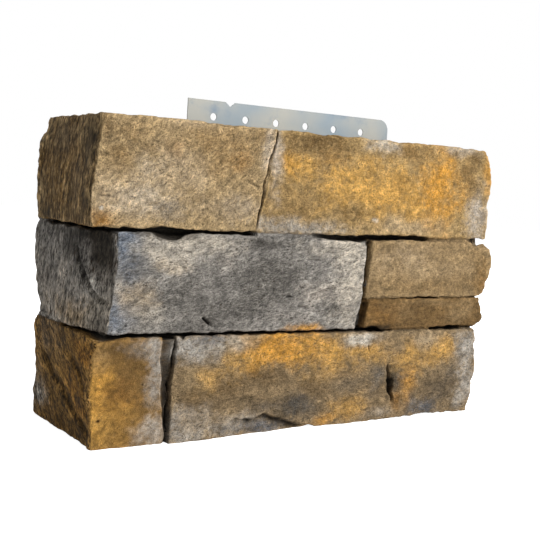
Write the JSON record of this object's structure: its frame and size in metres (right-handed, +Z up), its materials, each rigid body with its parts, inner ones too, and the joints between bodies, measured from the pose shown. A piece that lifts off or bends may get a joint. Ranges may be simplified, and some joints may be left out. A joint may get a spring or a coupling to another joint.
{
  "type": "ledger stone veneer corner",
  "caption": "L-shaped cast concrete veneer corner with hewn ledge stones in courses and a perforated steel nailing strip along its head, for cladding an outside wall corner.",
  "frame": {"origin": "bottom centre of the part's box, on the surface that it stands on", "axes": "+X along the long face, away from the outer corner; +Y from the stone faces to the wall behind; +Z up"},
  "size_m": [0.3314, 0.1036, 0.2216],
  "materials": {
    "cast_stone": "matt concrete, hewn texture, stained in tan, ochre, brown and grey",
    "galvanised_steel": "dull hot-dip zinc with a faint spangle"
  },
  "bodies": {
    "root": {"cast_stone": "cast_stone", "nailing_strip": "galvanised_steel"}
  },
  "joints": []
}
